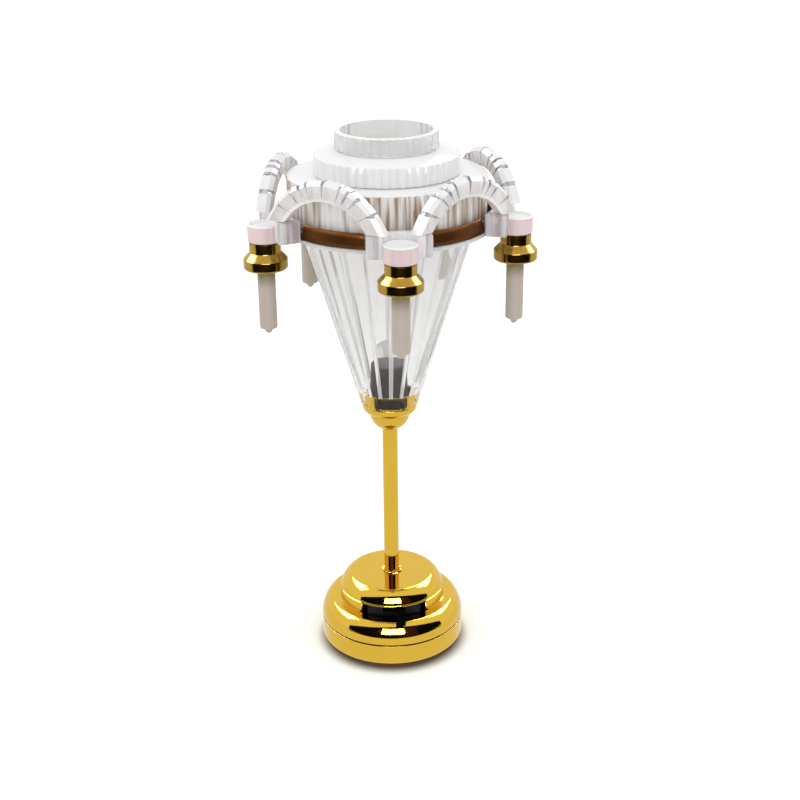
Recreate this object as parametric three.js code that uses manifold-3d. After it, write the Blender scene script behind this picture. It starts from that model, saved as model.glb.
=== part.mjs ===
import * as THREE from "three";
import { mergeVertices } from "three/addons/utils/BufferGeometryUtils.js";
import Module from "manifold-3d";

const wasm = await Module();
wasm.setup();

// Miniature battery chandelier for a dolls house, in millimetres.
// It stands upside down on its ceiling plate, +Z up: in use it is turned over and the plate's flat face is
// stuck to a ceiling, so the candles point up and the arches hang down as swags. The switch faces -Y.
// Directions round the axis are measured from -Y, positive towards +X.

// Driving sizes
const seatGap = 0.15;
const cutOverrun = 0.5;
const fullTurn = 2 * Math.PI;

// Each ring of points round the axis
const roundSides = 40;
const smallRoundSides = 18;
const arcSteps = 4;

const plate = { cellMargin: 4, floor: 0.8, chamfer: 0.25, spigotWall: 0.6 };
const canopy = {
  wall: 0.6,
  lowerWallHeight: 1.15,
  shoulderRun: 1.4,
  shoulderRise: 2.4,
  ledge: 1.75,
  lipStep: 0.2,
  domeRun: 1.45,
  domeRise: 2.15,
  headroom: 1,
};
const cell = { radius: 8, height: 3.2, edge: 0.3, capRadius: 6.8, capRise: 0.3 };
const tray = { wall: 0.75, roof: 0.7, contactSpace: 0.9, contactWidth: 2.4 };
const contact = {
  thickness: 0.25,
  headroom: 0.2,
  tabLength: 1.6,
  riserInset: 0.95,
  leafReach: 3.5,
  leafFlat: 1.2,
  leafStart: 4,
};
const switchBody = { width: 8.8, height: 3.7, faceSetback: 1.25, frontWall: 0.55, backWall: 0.55 };
const switchWindow = { sideGap: 1.1 };
const lever = {
  width: 1.45,
  height: 1,
  reach: 4.7,
  travel: 2,
  blockWidth: 3.4,
  blockHeight: 1.9,
  blockDepth: 1.4,
};
const wiper = { width: 2.6, height: 1.2, thickness: 0.25 };
const terminal = { width: 0.6, thickness: 0.3, length: 1.2, spacing: 2.5 };
const wire = { radius: 0.3, sides: 6, bendRise: 0.9, steps: 12 };

const stem = { radius: 1.25, bore: 0.85, tail: 0.8, height: 27.05, entry: 0.41 };
const bead = { width: 0.6, height: 0.55 };
const stemCup = { radius: 3.32, wall: 0.5 };
const seat = { floor: 0.6, wall: 0.35, height: 3.45, wireHole: 1.05 };
const lamp = { radius: 2.5, length: 8.5, standoff: 2.95, legSide: 0.5, legSpacing: 2.54, wireRoom: 1.45 };
const holder = { wall: 0.35, length: 7.4 };

const cone = {
  cupGap: 0.2,
  height: 30.8,
  flareShare: 0.302,
  wall: 0.75,
  flange: 0.6,
  flutes: 20,
  fluteDepthTop: 0.55,
  fluteDepthBottom: 0.25,
};
const band = { clearance: 0.59, thickness: 0.35, height: 2.35, slotWidth: 6.7, slotHeight: 0.8 };
const ring = { wall: 0.9, ledge: 0.7, fluteDepth: 0.3 };
const largeRing = { step: 1.83, height: 7.6, flutes: 72 };
const middleRing = { step: 4.14, height: 2.92, domed: 0.75, flutes: 54 };
const smallRing = { step: 3.25, height: 2.68, flutes: 36 };

const arms = { count: 5, turnDegrees: 2.8 };
const bracket = {
  reach: 3.54,
  drop: 0.7,
  height: 3.7,
  discRadius: 2.53,
  discHeight: 2.65,
  blockWidth: 9.6,
  blockDepth: 2.8,
  blockDrop: 0.2,
};
const candleCup = {
  neckRadius: 2.38,
  neckHeight: 1.5,
  flareHeight: 1.05,
  rimRadius: 3.35,
  rimHeight: 1.35,
  rimRound: 0.25,
  lipWall: 0.55,
  dishDepth: 1,
};
const candle = {
  radius: 1.35,
  length: 12.05,
  shoulder: 0.35,
  wickRadius: 0.75,
  wickLength: 0.9,
  socket: 0.9,
};
const arch = {
  ringGap: 0.59,
  endInset: 0.4,
  centreDrop: 5.48,
  rise: 12.4,
  sideThickness: 2.72,
  topThickness: 2.98,
  depth: 2.2,
  bevel: 0.5,
  facets: 8,
};

// The base follows from the cell: the plate and canopy go round it, and the upper tier is as tall as the
// switch needs.
const cellFloor = plate.floor + 2 * seatGap;
const cellTop = cellFloor + cell.height;
const trayBore = cell.radius + seatGap;
const trayRoof = cellTop + tray.contactSpace;
const trayTop = trayRoof + tray.roof;
const switchFoot = trayTop + seatGap;
const switchTop = switchFoot + switchBody.height;
const plateRadius = cell.radius + plate.cellMargin;
const canopyBore = plateRadius - canopy.wall;
const ledgeHeight = trayTop + seatGap + contact.thickness + contact.headroom + canopy.wall;
const ledgeRadius = plateRadius - canopy.shoulderRun;
const lowerWallTop = ledgeHeight - canopy.shoulderRise;
const canopyFoot = lowerWallTop - canopy.lowerWallHeight;
const plateTop = canopyFoot - seatGap;
const discHeight = switchTop + canopy.headroom + canopy.wall;
const lipHeight = discHeight - canopy.domeRise;
const upperRadius = ledgeRadius - canopy.ledge;
const domeRadius = upperRadius - canopy.lipStep;
const discRadius = domeRadius - canopy.domeRun;

// The stem carries the cup, the cup carries the seat and the cone, and the cone's mouth goes round the lamp
const stemHole = stem.radius + seatGap;
const stemTop = discHeight + stem.height;
const cupCentre = stemTop - stem.entry + Math.sqrt(stemCup.radius ** 2 - stemHole ** 2);
const seatFoot = cupCentre + seatGap;
const seatFloorTop = seatFoot + seat.floor;
const seatTop = seatFoot + seat.height;
const lensFoot = seatFloorTop + lamp.standoff;
const lensTip = lensFoot + lamp.length;
const holderBore = lamp.radius + seatGap;
const holderRadius = holderBore + holder.wall;
const coneFoot = cupCentre + cone.cupGap;
const coneTop = coneFoot + cone.height;
const mouthBore = holderRadius + seat.wall + 2 * seatGap - cone.flareShare * (seatFloorTop - coneFoot);
const mouthRadius = mouthBore + cone.wall;
const coneTopRadius = mouthRadius + cone.flareShare * cone.height;

// The crown's rings step inwards from the cone's top, the band goes round the large ring and the arms round
// the band.
const bandFoot = coneTop + cone.flange + seatGap;
const bandTop = bandFoot + band.height;
const largeRadius = coneTopRadius + largeRing.step;
const middleRadius = largeRadius - middleRing.step;
const smallRadius = middleRadius - smallRing.step;
const largeTop = bandFoot + largeRing.height;
const middleFoot = largeTop + seatGap;
const middleTop = middleFoot + middleRing.height;
const smallFoot = middleTop + middleRing.domed + seatGap;
const bandBore = largeRadius + band.clearance;
const bandRadius = bandBore + band.thickness;
const bracketBore = bandRadius + seatGap;
const bracketFoot = bandFoot - bracket.drop;
const bracketTop = bracketFoot + bracket.height;
const armReach = bracketBore + bracket.reach;
const armStep = fullTurn / arms.count;
const cupTop = bracketFoot - seatGap;
const cupFlareFoot = cupTop - candleCup.neckHeight - candleCup.flareHeight;
const cupFoot = cupFlareFoot - candleCup.rimHeight - candleCup.rimRound;

// Shared makers

// Turns an outline of [radius, height] points round the Z axis. The points run anticlockwise, with the radius
// to the right and the height up. An outline that doesn't begin on the axis closes on itself.
function turned(outline, sides = roundSides) {
  const points = outline.map(([radius, height]) => new THREE.Vector2(radius, height));
  if (outline[0][0] > 0) {
    points.push(points[0].clone());
  }
  return new THREE.LatheGeometry(points, sides).rotateX(fullTurn / 4);
}

// Points of a quarter of an ellipse, from one angle in degrees to another.
function arc(centreRadius, centreHeight, run, rise, fromDegrees, toDegrees, steps = arcSteps) {
  return Array.from({ length: steps + 1 }, (_, step) => {
    const angle = THREE.MathUtils.degToRad(fromDegrees + ((toDegrees - fromDegrees) * step) / steps);
    return [centreRadius + run * Math.cos(angle), centreHeight + rise * Math.sin(angle)];
  });
}

// A ring whose outside has V-shaped flutes. Each outline point is [radius, height, flute depth there].
function fluted(outline, flutes, groove) {
  const columns = flutes * groove.length;
  const rows = outline.length;
  const positions = [];
  const indices = [];
  for (let column = 0; column < columns; column += 1) {
    const angle = (fullTurn * column) / columns;
    const share = groove[column % groove.length];
    for (const [radius, height, depth] of outline) {
      const cut = radius - depth * share;
      positions.push(cut * Math.sin(angle), -cut * Math.cos(angle), height);
    }
  }
  for (let column = 0; column < columns; column += 1) {
    const next = (column + 1) % columns;
    for (let row = 0; row < rows; row += 1) {
      const above = (row + 1) % rows;
      const corners = [column * rows + row, next * rows + row, next * rows + above, column * rows + above];
      indices.push(corners[0], corners[1], corners[3], corners[2], corners[3], corners[1]);
    }
  }
  const geometry = new THREE.BufferGeometry();
  geometry.setAttribute("position", new THREE.Float32BufferAttribute(positions, 3));
  geometry.setIndex(indices);
  return geometry;
}

// A box between two corners.
function boxBetween(low, high) {
  const size = high.map((value, axis) => value - low[axis]);
  const middle = high.map((value, axis) => (value + low[axis]) / 2);
  return new THREE.BoxGeometry(...size).translate(...middle);
}

// A strip of sheet bent along points in the XZ plane, with its width along Y.
function bentStrip(points, thickness, width) {
  const path = points.map(([x, z]) => new THREE.Vector2(x, z));
  const side = (sign) =>
    path.map((point, index) => {
      const before = path[Math.max(index - 1, 0)];
      const after = path[Math.min(index + 1, path.length - 1)];
      const arriving = point.clone().sub(before).normalize();
      const leaving = after.clone().sub(point).normalize();
      const along = arriving.add(leaving).normalize();
      const facing = index > 0 ? point.clone().sub(before).normalize() : leaving;
      const stretch = Math.max(along.dot(facing), 0.5);
      const offset = (sign * thickness) / 2 / stretch;
      return new THREE.Vector2(point.x - along.y * offset, point.y + along.x * offset);
    });
  const shape = new THREE.Shape([...side(1), ...side(-1).reverse()]);
  const sheet = new THREE.ExtrudeGeometry(shape, { depth: width, bevelEnabled: false });
  return sheet.translate(0, 0, -width / 2).rotateX(fullTurn / 4);
}

// A round wire along a smooth curve through the points.
function wireAlong(points, steps) {
  const section = new THREE.Shape(
    Array.from({ length: wire.sides }, (_, side) => {
      const angle = (fullTurn * side) / wire.sides;
      return new THREE.Vector2(wire.radius * Math.cos(angle), wire.radius * Math.sin(angle));
    }),
  );
  const places = points.map((point) => new THREE.Vector3(...point));
  const curve = new THREE.CatmullRomCurve3(places, false, "centripetal");
  return new THREE.ExtrudeGeometry(section, { steps, extrudePath: curve, bevelEnabled: false });
}

// Between three.js geometry and manifold solids, for the cuts and joins.
function toSolid(geometry) {
  const bare = geometry.clone();
  bare.deleteAttribute("normal");
  bare.deleteAttribute("uv");
  const merged = mergeVertices(bare);
  return new wasm.Manifold(
    new wasm.Mesh({
      numProp: 3,
      vertProperties: new Float32Array(merged.attributes.position.array),
      triVerts: new Uint32Array(merged.index.array),
    }),
  );
}

function toGeometry(solid) {
  const { vertProperties, triVerts } = solid.getMesh();
  const geometry = new THREE.BufferGeometry();
  geometry.setAttribute("position", new THREE.Float32BufferAttribute(vertProperties, 3));
  geometry.setIndex(Array.from(triVerts));
  return geometry;
}

function cutFrom(geometry, cutters) {
  return toGeometry(cutters.reduce((solid, cutter) => solid.subtract(toSolid(cutter)), toSolid(geometry)));
}

function joined(geometries) {
  return toGeometry(geometries.map(toSolid).reduce((all, solid) => all.add(solid)));
}

// Materials
const finishes = {
  gold: { color: 0xd4af4c, roughness: 0.12, metalness: 1 },
  agedBrass: { color: 0x6e421b, roughness: 0.3, metalness: 1 },
  steel: { color: 0xc2c5c8, roughness: 0.3, metalness: 1 },
  copper: { color: 0xc07a4a, roughness: 0.35, metalness: 1 },
  blackPlastic: { color: 0x15151a, roughness: 0.45, metalness: 0 },
  crystal: { color: 0xf4f4f6, roughness: 0.05, metalness: 0, transparent: true, opacity: 0.45 },
  lens: { color: 0xe9ecef, roughness: 0.1, metalness: 0, transparent: true, opacity: 0.8 },
  candleWhite: { color: 0xd8cdc0, roughness: 0.5, metalness: 0 },
  redInsulation: { color: 0x9c1f1f, roughness: 0.5, metalness: 0 },
  blackInsulation: { color: 0x1c1c1c, roughness: 0.5, metalness: 0 },
};

function mesh(name, geometry, finish) {
  const part = new THREE.Mesh(geometry, new THREE.MeshStandardMaterial(finishes[finish]));
  part.name = name;
  return part;
}

// Ceiling plate: a shallow cup with a spigot that the canopy is pressed over
function ceilingPlate() {
  const spigot = canopyBore - seatGap;
  const spigotTop = trayRoof - 2 * seatGap;
  const hollow = spigot - plate.spigotWall;
  return mesh(
    "ceiling_plate",
    turned([
      [0, 0],
      [plateRadius - plate.chamfer, 0],
      [plateRadius, plate.chamfer],
      [plateRadius, plateTop],
      [spigot, plateTop],
      [spigot, spigotTop],
      [hollow, spigotTop],
      [hollow, plate.floor],
      [0, plate.floor],
    ]),
    "gold",
  );
}

// Canopy: a thin two-tier cover with a window for the switch and a hole for the stem
function canopyShell() {
  const { wall, shoulderRun, shoulderRise, domeRun, domeRise } = canopy;
  const shell = turned([
    [plateRadius, canopyFoot],
    ...arc(ledgeRadius, lowerWallTop, shoulderRun, shoulderRise, 0, 90),
    [upperRadius, ledgeHeight],
    [upperRadius, lipHeight - canopy.lipStep],
    ...arc(discRadius, lipHeight, domeRun, domeRise, 0, 90),
    [stemHole, discHeight],
    [stemHole, discHeight - wall],
    ...arc(discRadius, lipHeight, domeRun - wall, domeRise - wall, 90, 0),
    [upperRadius - wall, lipHeight - canopy.lipStep],
    [upperRadius - wall, ledgeHeight - wall],
    ...arc(ledgeRadius, lowerWallTop, shoulderRun - wall, shoulderRise - wall, 90, 0),
    [canopyBore, canopyFoot],
  ]);
  const windowHalf = switchBody.width / 2 + switchWindow.sideGap;
  const opening = boxBetween(
    [-windowHalf, -upperRadius - cutOverrun, ledgeHeight],
    [windowHalf, -upperRadius / 2, lipHeight - canopy.lipStep],
  );
  return mesh("canopy_shell", cutFrom(shell, [opening]), "gold");
}

// Battery: a coin cell held under the tray between a leaf contact and a side contact
function coinCell() {
  return mesh(
    "coin_cell",
    turned(
      [
        [0, cellFloor],
        [cell.radius - cell.edge, cellFloor],
        [cell.radius, cellFloor + cell.edge],
        [cell.radius, cellTop - cell.capRise - cell.edge],
        [cell.radius - cell.edge, cellTop - cell.capRise],
        [cell.capRadius + cell.edge, cellTop - cell.capRise],
        [cell.capRadius, cellTop],
        [0, cellTop],
      ],
      roundSides - arcSteps * 2,
    ),
    "steel",
  );
}

const contactMiddle = trayTop + seatGap + contact.thickness / 2;
const sideContactDistance = trayBore + contact.thickness / 2;
const riserDistance = trayBore - contact.riserInset;

function batteryTray() {
  const shoulderShare = (trayTop - lowerWallTop) / (canopy.shoulderRise - canopy.wall);
  const shoulderRoom = (canopy.shoulderRun - canopy.wall) * Math.sqrt(1 - shoulderShare ** 2);
  const flange = ledgeRadius + shoulderRoom - seatGap;
  const body = turned([
    [0, trayRoof],
    [trayBore, trayRoof],
    [trayBore, cellFloor],
    [trayBore + tray.wall, cellFloor],
    [trayBore + tray.wall, trayRoof],
    [flange, trayRoof],
    [flange, trayTop],
    [0, trayTop],
  ]);
  const halfSlot = tray.contactWidth / 2 + seatGap;
  const halfGap = contact.thickness / 2 + seatGap;
  const sideWindow = boxBetween(
    [trayBore - cutOverrun, -halfSlot, cellFloor - cutOverrun],
    [trayBore + tray.wall + cutOverrun, halfSlot, trayRoof - seatGap],
  );
  const sideSlot = boxBetween(
    [sideContactDistance - halfGap, -halfSlot, trayRoof - cutOverrun],
    [sideContactDistance + halfGap, halfSlot, trayTop + cutOverrun],
  );
  const leafSlot = boxBetween(
    [-riserDistance - halfGap, -halfSlot, trayRoof - cutOverrun],
    [-riserDistance + halfGap, halfSlot, trayTop + cutOverrun],
  );
  return mesh("battery_tray", cutFrom(body, [sideWindow, sideSlot, leafSlot]), "blackPlastic");
}

function negativeContact() {
  const flat = trayRoof - seatGap - contact.thickness / 2;
  const pressed = cellTop + seatGap + contact.thickness / 2;
  const route = [
    [contact.tabLength - riserDistance, contactMiddle],
    [-riserDistance, contactMiddle],
    [-riserDistance, flat],
    [-contact.leafStart, flat],
    [-contact.leafFlat, pressed],
    [contact.leafFlat, pressed],
    [contact.leafReach, flat],
  ];
  return mesh("negative_contact", bentStrip(route, contact.thickness, tray.contactWidth), "steel");
}

function positiveContact() {
  const route = [
    [sideContactDistance - contact.tabLength, contactMiddle],
    [sideContactDistance, contactMiddle],
    [sideContactDistance, cellFloor + cell.edge],
  ];
  return mesh("positive_contact", bentStrip(route, contact.thickness, tray.contactWidth), "steel");
}

// Slide switch behind the canopy's window, with its face in the window and its lever over the ledge
const windowMiddle = (ledgeHeight + lipHeight - canopy.lipStep) / 2;
const bezelHalfHeight = (lipHeight - canopy.lipStep - ledgeHeight) / 2 - seatGap;
const domeInsideAtSwitch =
  discRadius +
  (canopy.domeRun - canopy.wall) *
    Math.sqrt(1 - ((switchTop - lipHeight) / (canopy.domeRise - canopy.wall)) ** 2);
const faceDistance = upperRadius - switchBody.faceSetback;
const blockFront = -Math.sqrt((domeInsideAtSwitch - seatGap) ** 2 - (switchBody.width / 2) ** 2);
const chamberFront = blockFront + switchBody.frontWall;
const chamberBack = chamberFront + lever.blockDepth + wiper.thickness + 3 * seatGap;
const blockBack = chamberBack + switchBody.backWall;
const leverRest = lever.travel / 2;

function switchHousing() {
  const half = switchBody.width / 2;
  const block = boxBetween([-half, blockFront, switchFoot], [half, blockBack, switchTop]);
  const bezel = boxBetween(
    [-half, -faceDistance, windowMiddle - bezelHalfHeight],
    [half, blockFront + switchBody.frontWall / 2, windowMiddle + bezelHalfHeight],
  );
  const slotHalf = (lever.width + lever.travel) / 2 + seatGap;
  const slot = boxBetween(
    [-slotHalf, -faceDistance - cutOverrun, windowMiddle - lever.height / 2 - seatGap],
    [slotHalf, chamberFront + cutOverrun, windowMiddle + lever.height / 2 + seatGap],
  );
  const chamberHalf = (lever.blockWidth + lever.travel) / 2 + seatGap;
  const chamber = boxBetween(
    [-chamberHalf, chamberFront, windowMiddle - lever.blockHeight / 2 - seatGap],
    [chamberHalf, chamberBack, windowMiddle + lever.blockHeight / 2 + seatGap],
  );
  return mesh("switch_housing", cutFrom(joined([block, bezel]), [slot, chamber]), "blackPlastic");
}

function switchLever() {
  const blockStart = chamberFront + seatGap;
  const knob = boxBetween(
    [leverRest - lever.width / 2, -faceDistance - lever.reach, windowMiddle - lever.height / 2],
    [leverRest + lever.width / 2, blockStart + lever.blockDepth / 2, windowMiddle + lever.height / 2],
  );
  const block = boxBetween(
    [leverRest - lever.blockWidth / 2, blockStart, windowMiddle - lever.blockHeight / 2],
    [leverRest + lever.blockWidth / 2, blockStart + lever.blockDepth, windowMiddle + lever.blockHeight / 2],
  );
  return mesh("switch_lever", joined([knob, block]), "blackPlastic");
}

function switchWiper() {
  const start = chamberFront + lever.blockDepth + 2 * seatGap;
  return mesh(
    "switch_wiper",
    boxBetween(
      [leverRest - wiper.width / 2, start, windowMiddle - wiper.height / 2],
      [leverRest + wiper.width / 2, start + wiper.thickness, windowMiddle + wiper.height / 2],
    ),
    "copper",
  );
}

const terminalStart = blockBack + seatGap;
const terminalEnd = terminalStart + terminal.length;

function switchTerminal(name, place) {
  return mesh(
    name,
    boxBetween(
      [place - terminal.width / 2, terminalStart, windowMiddle - terminal.thickness / 2],
      [place + terminal.width / 2, terminalEnd, windowMiddle + terminal.thickness / 2],
    ),
    "copper",
  );
}

// Wires: battery to switch, and two that climb the stem to the lamp's legs
const tabEnd = riserDistance - contact.tabLength;
const sideTabEnd = sideContactDistance - contact.tabLength;
const wireRest = trayTop + seatGap + wire.radius;
const boreHalf = stem.bore / 2;
const legHalf = lamp.legSpacing / 2;
const legTop = lensFoot - seatGap;
const legFoot = seatFloorTop + lamp.wireRoom;
const stemFoot = discHeight - canopy.wall - stem.tail;

function switchWire() {
  const behind = terminalEnd + seatGap;
  return mesh(
    "battery_wire",
    wireAlong(
      [
        [sideTabEnd - seatGap, 0, wireRest],
        [(sideTabEnd + terminal.spacing) / 2, 2 * wire.radius, (wireRest + windowMiddle) / 2],
        [terminal.spacing, behind + wire.bendRise, windowMiddle],
        [terminal.spacing, behind, windowMiddle],
      ],
      wire.steps,
    ),
    "redInsulation",
  );
}

function climb(side) {
  return [
    [side * boreHalf, 0, stemFoot],
    [side * boreHalf, 0, stemFoot + wire.bendRise],
    [side * boreHalf, 0, (stemFoot + stemTop) / 2],
    [side * boreHalf, 0, seatFloorTop - wire.bendRise],
    [side * boreHalf, 0, seatFloorTop - wire.radius],
    [side * legHalf, 0, legFoot - wire.radius - wire.bendRise / 2],
    [side * legHalf, 0, legFoot - seatGap],
  ];
}

function positiveLampWire() {
  const behind = terminalEnd + seatGap;
  const route = [
    [0, behind, windowMiddle],
    [boreHalf / 2, behind + wire.radius, windowMiddle + wire.radius],
  ];
  return mesh("lamp_wire_positive", wireAlong([...route, ...climb(1)], 2 * wire.steps), "redInsulation");
}

function negativeLampWire() {
  const route = [
    [-tabEnd + seatGap, 0, wireRest],
    [-tabEnd / 2, 0, wireRest + wire.radius],
    [-2 * boreHalf, 0, windowMiddle],
  ];
  return mesh("lamp_wire_negative", wireAlong([...route, ...climb(-1)], 2 * wire.steps), "blackInsulation");
}

// Stem: a thin tube brazed into the canopy, with the braze left as a small bead at its foot
function stemTube() {
  return mesh(
    "stem_tube",
    turned(
      [
        [stem.bore, stemFoot],
        [stem.radius, stemFoot],
        [stem.radius, stemTop],
        [stem.bore, stemTop],
      ],
      smallRoundSides,
    ),
    "gold",
  );
}

function stemBead() {
  const foot = discHeight + seatGap;
  return mesh(
    "stem_bead",
    turned(
      [[stemHole, foot], ...arc(stemHole, foot, bead.width, bead.height, 0, 90)],
      smallRoundSides,
    ),
    "gold",
  );
}

// Stem cup: a half-round cup at the stem's end that the lamp's seat rests on
function stemCupShell() {
  const { radius, wall } = stemCup;
  const inner = radius - wall;
  const degrees = (size) => -THREE.MathUtils.radToDeg(Math.acos(stemHole / size));
  return mesh(
    "stem_cup",
    turned(
      [
        ...arc(0, cupCentre, radius, radius, degrees(radius), 0, arcSteps + 1),
        ...arc(0, cupCentre, inner, inner, 0, degrees(inner)),
      ],
      roundSides / 2 + arcSteps,
    ),
    "gold",
  );
}

// Cone seat: a tapered gold cup inside the crystal cone's mouth, which holds the lamp
const coneBoreAt = (height) => mouthBore + cone.flareShare * (height - coneFoot);

function coneSeat() {
  const footRadius = coneBoreAt(seatFoot) - seatGap;
  const topRadius = coneBoreAt(seatTop) - seatGap;
  const floorRadius = coneBoreAt(seatFloorTop) - seatGap - seat.wall;
  return mesh(
    "cone_seat",
    turned(
      [
        [seat.wireHole, seatFoot],
        [footRadius, seatFoot],
        [topRadius, seatTop],
        [topRadius - seat.wall, seatTop],
        [floorRadius, seatFloorTop],
        [seat.wireHole, seatFloorTop],
      ],
      roundSides / 2 + arcSteps,
    ),
    "gold",
  );
}

// Lamp: a clear round-topped diode in a black sleeve, with two legs
function lampHolder() {
  const foot = seatFloorTop + seatGap;
  const top = foot + holder.length;
  return mesh(
    "lamp_holder",
    turned(
      [
        [holderBore, foot],
        [holderRadius, foot],
        [holderRadius, top],
        [holderBore, top],
      ],
      smallRoundSides,
    ),
    "blackPlastic",
  );
}

function lampLens() {
  const outline = [[0, lensFoot], [lamp.radius, lensFoot]];
  const dome = arc(0, lensTip - lamp.radius, lamp.radius, lamp.radius, 0, 90);
  dome[dome.length - 1][0] = 0;
  return mesh("lamp_lens", turned([...outline, ...dome], smallRoundSides), "lens");
}

function lampLeg(name, side) {
  const half = lamp.legSide / 2;
  const place = side * legHalf;
  return mesh(name, boxBetween([place - half, -half, legFoot], [place + half, half, legTop]), "steel");
}

// Crystal cone: a thin moulded cone with long reeds, open at both ends, and a flange that carries the band
const reed = [1, 0.25, 0, 0.25];
const groove = [1, 0];

function crystalCone() {
  const flangeRadius = bandRadius - seatGap;
  const flangeTop = coneTop + cone.flange;
  return mesh(
    "crystal_cone",
    fluted(
      [
        [mouthRadius, coneFoot, cone.fluteDepthBottom],
        [coneTopRadius, coneTop, cone.fluteDepthTop],
        [flangeRadius, coneTop, 0],
        [flangeRadius, flangeTop, 0],
        [coneBoreAt(flangeTop), flangeTop, 0],
        [mouthBore, coneFoot, 0],
      ],
      cone.flutes,
      reed,
    ),
    "crystal",
  );
}

// Crown: three fluted rings stacked on the cone's flange
function crownLargeRing() {
  const hole = middleRadius - ring.wall;
  return mesh(
    "crown_ring_large",
    fluted(
      [
        [largeRadius, bandFoot, ring.fluteDepth],
        [largeRadius, largeTop, ring.fluteDepth],
        [hole, largeTop, 0],
        [hole, largeTop - ring.ledge, 0],
        [largeRadius - ring.wall, largeTop - ring.ledge, 0],
        [largeRadius - ring.wall, bandFoot, 0],
      ],
      largeRing.flutes,
      groove,
    ),
    "crystal",
  );
}

function crownMiddleRing() {
  const hole = smallRadius - ring.wall;
  const domeTop = middleTop + middleRing.domed;
  return mesh(
    "crown_ring_middle",
    fluted(
      [
        [middleRadius, middleFoot, ring.fluteDepth],
        [middleRadius, middleTop, ring.fluteDepth],
        [smallRadius, domeTop, 0],
        [hole, domeTop, 0],
        [hole, domeTop - ring.ledge, 0],
        [middleRadius - ring.wall, middleTop - ring.ledge, 0],
        [middleRadius - ring.wall, middleFoot, 0],
      ],
      middleRing.flutes,
      groove,
    ),
    "crystal",
  );
}

function crownSmallRing() {
  const top = smallFoot + smallRing.height;
  return mesh(
    "crown_ring_small",
    fluted(
      [
        [smallRadius, smallFoot, ring.fluteDepth],
        [smallRadius, top, ring.fluteDepth],
        [smallRadius - ring.wall, top, 0],
        [smallRadius - ring.wall, smallFoot, 0],
      ],
      smallRing.flutes,
      groove,
    ),
    "crystal",
  );
}

// Each arm stands at its own turn round the axis, and each arch midway between two arms
const armTurn = (index) => THREE.MathUtils.degToRad(arms.turnDegrees) + index * armStep;

function turnedGroup(turn, pieces) {
  const group = new THREE.Group();
  group.rotation.z = turn;
  group.add(...pieces);
  return group;
}

// Band: a thin brass hoop round the large ring, with a slot for each arm's tab
const slotMiddle = bandFoot + band.height / 2;

function crownBand() {
  const hoop = turned(
    [
      [bandBore, bandFoot],
      [bandRadius, bandFoot],
      [bandRadius, bandTop],
      [bandBore, bandTop],
    ],
    roundSides + roundSides / 2,
  );
  const slots = Array.from({ length: arms.count }, (_, index) =>
    boxBetween(
      [-band.slotWidth / 2, -bandRadius - cutOverrun, slotMiddle - band.slotHeight / 2],
      [band.slotWidth / 2, -bandBore + 2 * cutOverrun, slotMiddle + band.slotHeight / 2],
    ).rotateZ(armTurn(index)),
  );
  return mesh("crown_band", cutFrom(hoop, slots), "agedBrass");
}

// Arm: a clear bracket with a tab in the band's slot, a gold cup under its disc and a candle in the cup
function candleBracket(name) {
  const disc = new THREE.CylinderGeometry(
    bracket.discRadius,
    bracket.discRadius,
    bracket.discHeight,
    smallRoundSides,
  );
  disc.rotateX(fullTurn / 4).translate(0, -armReach, bracketFoot + bracket.discHeight / 2);
  const block = boxBetween(
    [-bracket.blockWidth / 2, -bracketBore - bracket.blockDepth, bracketFoot + bracket.blockDrop],
    [bracket.blockWidth / 2, -bracketBore + bracket.blockDepth / 2, bracketTop],
  );
  const hoopClearance = new THREE.CylinderGeometry(
    bracketBore,
    bracketBore,
    bracket.height * 2 + cutOverrun,
    roundSides + roundSides / 2,
  );
  hoopClearance.rotateX(fullTurn / 4).translate(0, 0, bracketTop);
  const tabHalf = band.slotWidth / 2 - 2 * seatGap;
  const tabHalfHeight = band.slotHeight / 2 - seatGap;
  const tab = boxBetween(
    [-tabHalf, -bracketBore - bracket.blockDepth / 4, slotMiddle - tabHalfHeight],
    [tabHalf, -largeRadius - 2 * seatGap, slotMiddle + tabHalfHeight],
  );
  const body = cutFrom(joined([block, disc]), [hoopClearance]);
  return mesh(name, joined([body, tab]), "crystal");
}

function goldCup(name) {
  const { neckRadius, rimRadius, rimRound, lipWall, dishDepth } = candleCup;
  const flareTop = cupTop - candleCup.neckHeight;
  const socketRadius = candle.radius + seatGap;
  const dishTop = cupFoot + dishDepth;
  const profile = [
    [0, dishTop + candle.socket],
    [socketRadius, dishTop + candle.socket],
    [socketRadius, dishTop],
    [rimRadius - rimRound - lipWall, dishTop],
    [rimRadius - rimRound - lipWall, cupFoot],
    [rimRadius - rimRound, cupFoot],
    [rimRadius, cupFoot + rimRound],
    [rimRadius, cupFlareFoot],
    [neckRadius, flareTop],
    [neckRadius, cupTop],
    [0, cupTop],
  ];
  return mesh(name, turned(profile, smallRoundSides).translate(0, -armReach, 0), "gold");
}

function whiteCandle(name) {
  const base = cupFoot + candleCup.dishDepth + candle.socket - seatGap;
  const shoulder = base - candle.length + candle.wickLength;
  const profile = [
    [0, shoulder - candle.wickLength],
    [candle.wickRadius, shoulder - candle.shoulder / 2],
    [candle.radius - candle.shoulder, shoulder],
    [candle.radius, shoulder + candle.shoulder],
    [candle.radius, base],
    [0, base],
  ];
  return mesh(name, turned(profile, smallRoundSides).translate(0, -armReach, 0), "candleWhite");
}

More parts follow.
